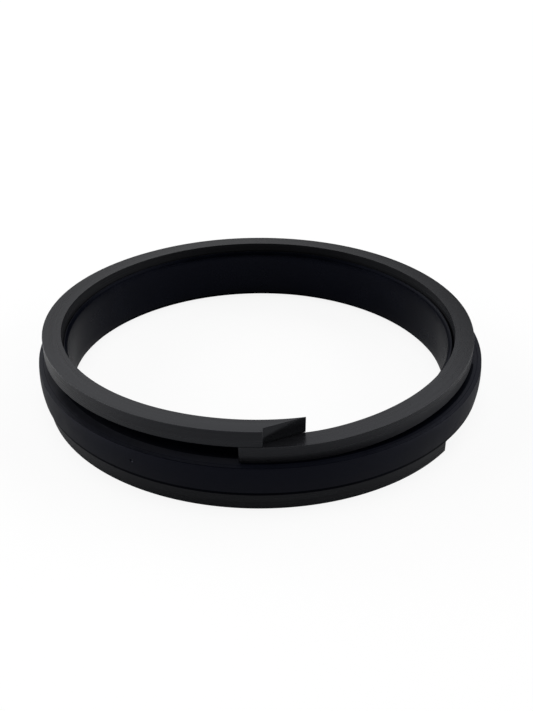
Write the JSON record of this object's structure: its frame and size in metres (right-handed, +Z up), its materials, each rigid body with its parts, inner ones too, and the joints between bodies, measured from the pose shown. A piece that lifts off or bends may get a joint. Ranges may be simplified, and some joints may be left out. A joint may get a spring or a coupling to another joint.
{
  "type": "piston seal",
  "caption": "Piston seal: a T-section rubber ring between split, scarf-cut backup rings, for a groove in a hydraulic piston.",
  "frame": {"origin": "centre of the lower backup ring, in the plane of its bottom face", "axes": "+Z up along the rings' common axis, away from the surface the set lies on; -Y towards the split of the upper backup ring"},
  "size_m": [0.1028, 0.1028, 0.0176],
  "materials": {
    "backup_ring": "turned, fine concentric tool marks, satin",
    "rubber": "moulded nitrile rubber, satin"
  },
  "bodies": {
    "root": {"lower_backup_ring": "backup_ring", "sealing_ring": "rubber", "upper_backup_ring": "backup_ring"}
  },
  "joints": []
}
